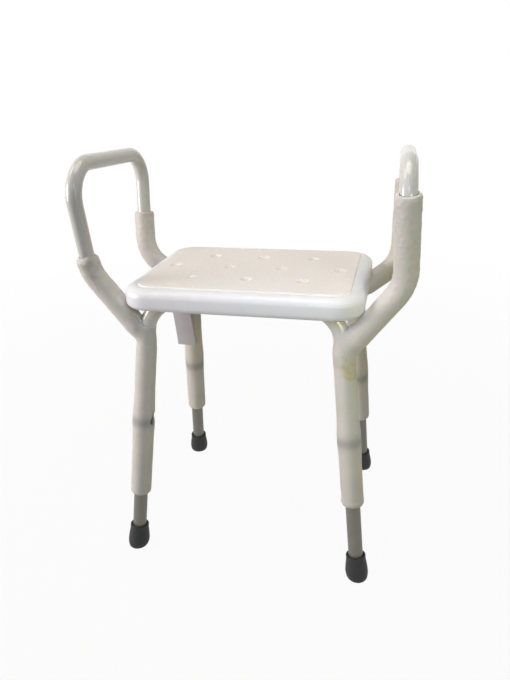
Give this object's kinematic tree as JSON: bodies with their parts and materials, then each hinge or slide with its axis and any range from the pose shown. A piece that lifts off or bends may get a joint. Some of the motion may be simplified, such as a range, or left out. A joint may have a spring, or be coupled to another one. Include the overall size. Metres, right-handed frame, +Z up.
{
  "type": "shower stool",
  "caption": "Shower stool with a moulded seat, tubular arms, two bent leg frames and telescopic legs on rubber feet, in its foam delivery sleeves.",
  "frame": {"origin": "on the floor, midway between the feet and under the middle of the seat, legs in their middle holes", "axes": "+Z up; the user faces -Y; the user's right hand is at -X"},
  "size_m": [0.554, 0.3726, 0.7206],
  "materials": {
    "seat_plastic": "blow-moulded, smooth rim and fine leather grain on the raised panel",
    "insert_brass": "turned",
    "dark_plastic": "moulded",
    "steel": "bright",
    "frame_coat": "gloss white powder coat on aluminium tube",
    "leg_aluminium": "satin anodised",
    "foot_rubber": "matte",
    "foam": "expanded polyethylene foam, cut ends",
    "card": "plain coated card",
    "tie_nylon": "natural white nylon"
  },
  "bodies": {
    "stool": {"seat_shell": "seat_plastic", "seat_inserts": "insert_brass", "channel_liners": "dark_plastic", "seat_screws": "steel", "screw_washers": "steel", "front_leg_frame": "frame_coat", "rear_leg_frame": "frame_coat", "left_arm_rail": "frame_coat", "right_arm_rail": "frame_coat", "arm_welds": "frame_coat", "collar_front_left": "dark_plastic", "collar_front_right": "dark_plastic", "collar_rear_left": "dark_plastic", "collar_rear_right": "dark_plastic", "leg_sleeve_front_left": "foam", "leg_sleeve_front_right": "foam", "leg_sleeve_rear_left": "foam", "leg_sleeve_rear_right": "foam", "arm_sleeve_front_left": "foam", "arm_sleeve_front_right": "foam", "arm_sleeve_rear_left": "foam", "arm_sleeve_rear_right": "foam", "hang_tag": "card", "tag_ring": "steel", "tag_tie": "tie_nylon"},
    "leg_front_left": {"inner_leg_front_left": "leg_aluminium", "foot_front_left": "foot_rubber", "foot_disc_front_left": "steel", "button_spring_front_left": "steel"},
    "button_front_left": {"snap_button_front_left": "steel"},
    "leg_front_right": {"inner_leg_front_right": "leg_aluminium", "foot_front_right": "foot_rubber", "foot_disc_front_right": "steel", "button_spring_front_right": "steel"},
    "button_front_right": {"snap_button_front_right": "steel"},
    "leg_rear_left": {"inner_leg_rear_left": "leg_aluminium", "foot_rear_left": "foot_rubber", "foot_disc_rear_left": "steel", "button_spring_rear_left": "steel"},
    "button_rear_left": {"snap_button_rear_left": "steel"},
    "leg_rear_right": {"inner_leg_rear_right": "leg_aluminium", "foot_rear_right": "foot_rubber", "foot_disc_rear_right": "steel", "button_spring_rear_right": "steel"},
    "button_rear_right": {"snap_button_rear_right": "steel"}
  },
  "joints": [
    {"name": "leg_slide_front_left", "type": "slide", "parent": "stool", "child": "leg_front_left", "axis": [0.0958, 0.1244, 0.9876], "range_m": [-0.06, 0.06]},
    {"name": "leg_slide_front_right", "type": "slide", "parent": "stool", "child": "leg_front_right", "axis": [-0.0958, 0.1244, 0.9876], "range_m": [-0.06, 0.06]},
    {"name": "leg_slide_rear_left", "type": "slide", "parent": "stool", "child": "leg_rear_left", "axis": [0.0644, -0.115, 0.9913], "range_m": [-0.06, 0.06]},
    {"name": "leg_slide_rear_right", "type": "slide", "parent": "stool", "child": "leg_rear_right", "axis": [-0.0644, -0.115, 0.9913], "range_m": [-0.06, 0.06]},
    {"name": "button_press_front_left", "type": "slide", "parent": "leg_front_left", "child": "button_front_left", "axis": [0.9954, -0.012, -0.095], "range_m": [0, 0.0032], "stiffness_N_per_m": 3000, "springref_m": -0.001},
    {"name": "button_press_front_right", "type": "slide", "parent": "leg_front_right", "child": "button_front_right", "axis": [-0.9954, -0.012, -0.095], "range_m": [0, 0.0032], "stiffness_N_per_m": 3000, "springref_m": -0.001},
    {"name": "button_press_rear_left", "type": "slide", "parent": "leg_rear_left", "child": "button_rear_left", "axis": [0.9979, 0.0074, -0.064], "range_m": [0, 0.0032], "stiffness_N_per_m": 3000, "springref_m": -0.001},
    {"name": "button_press_rear_right", "type": "slide", "parent": "leg_rear_right", "child": "button_rear_right", "axis": [-0.9979, 0.0074, -0.064], "range_m": [0, 0.0032], "stiffness_N_per_m": 3000, "springref_m": -0.001}
  ]
}
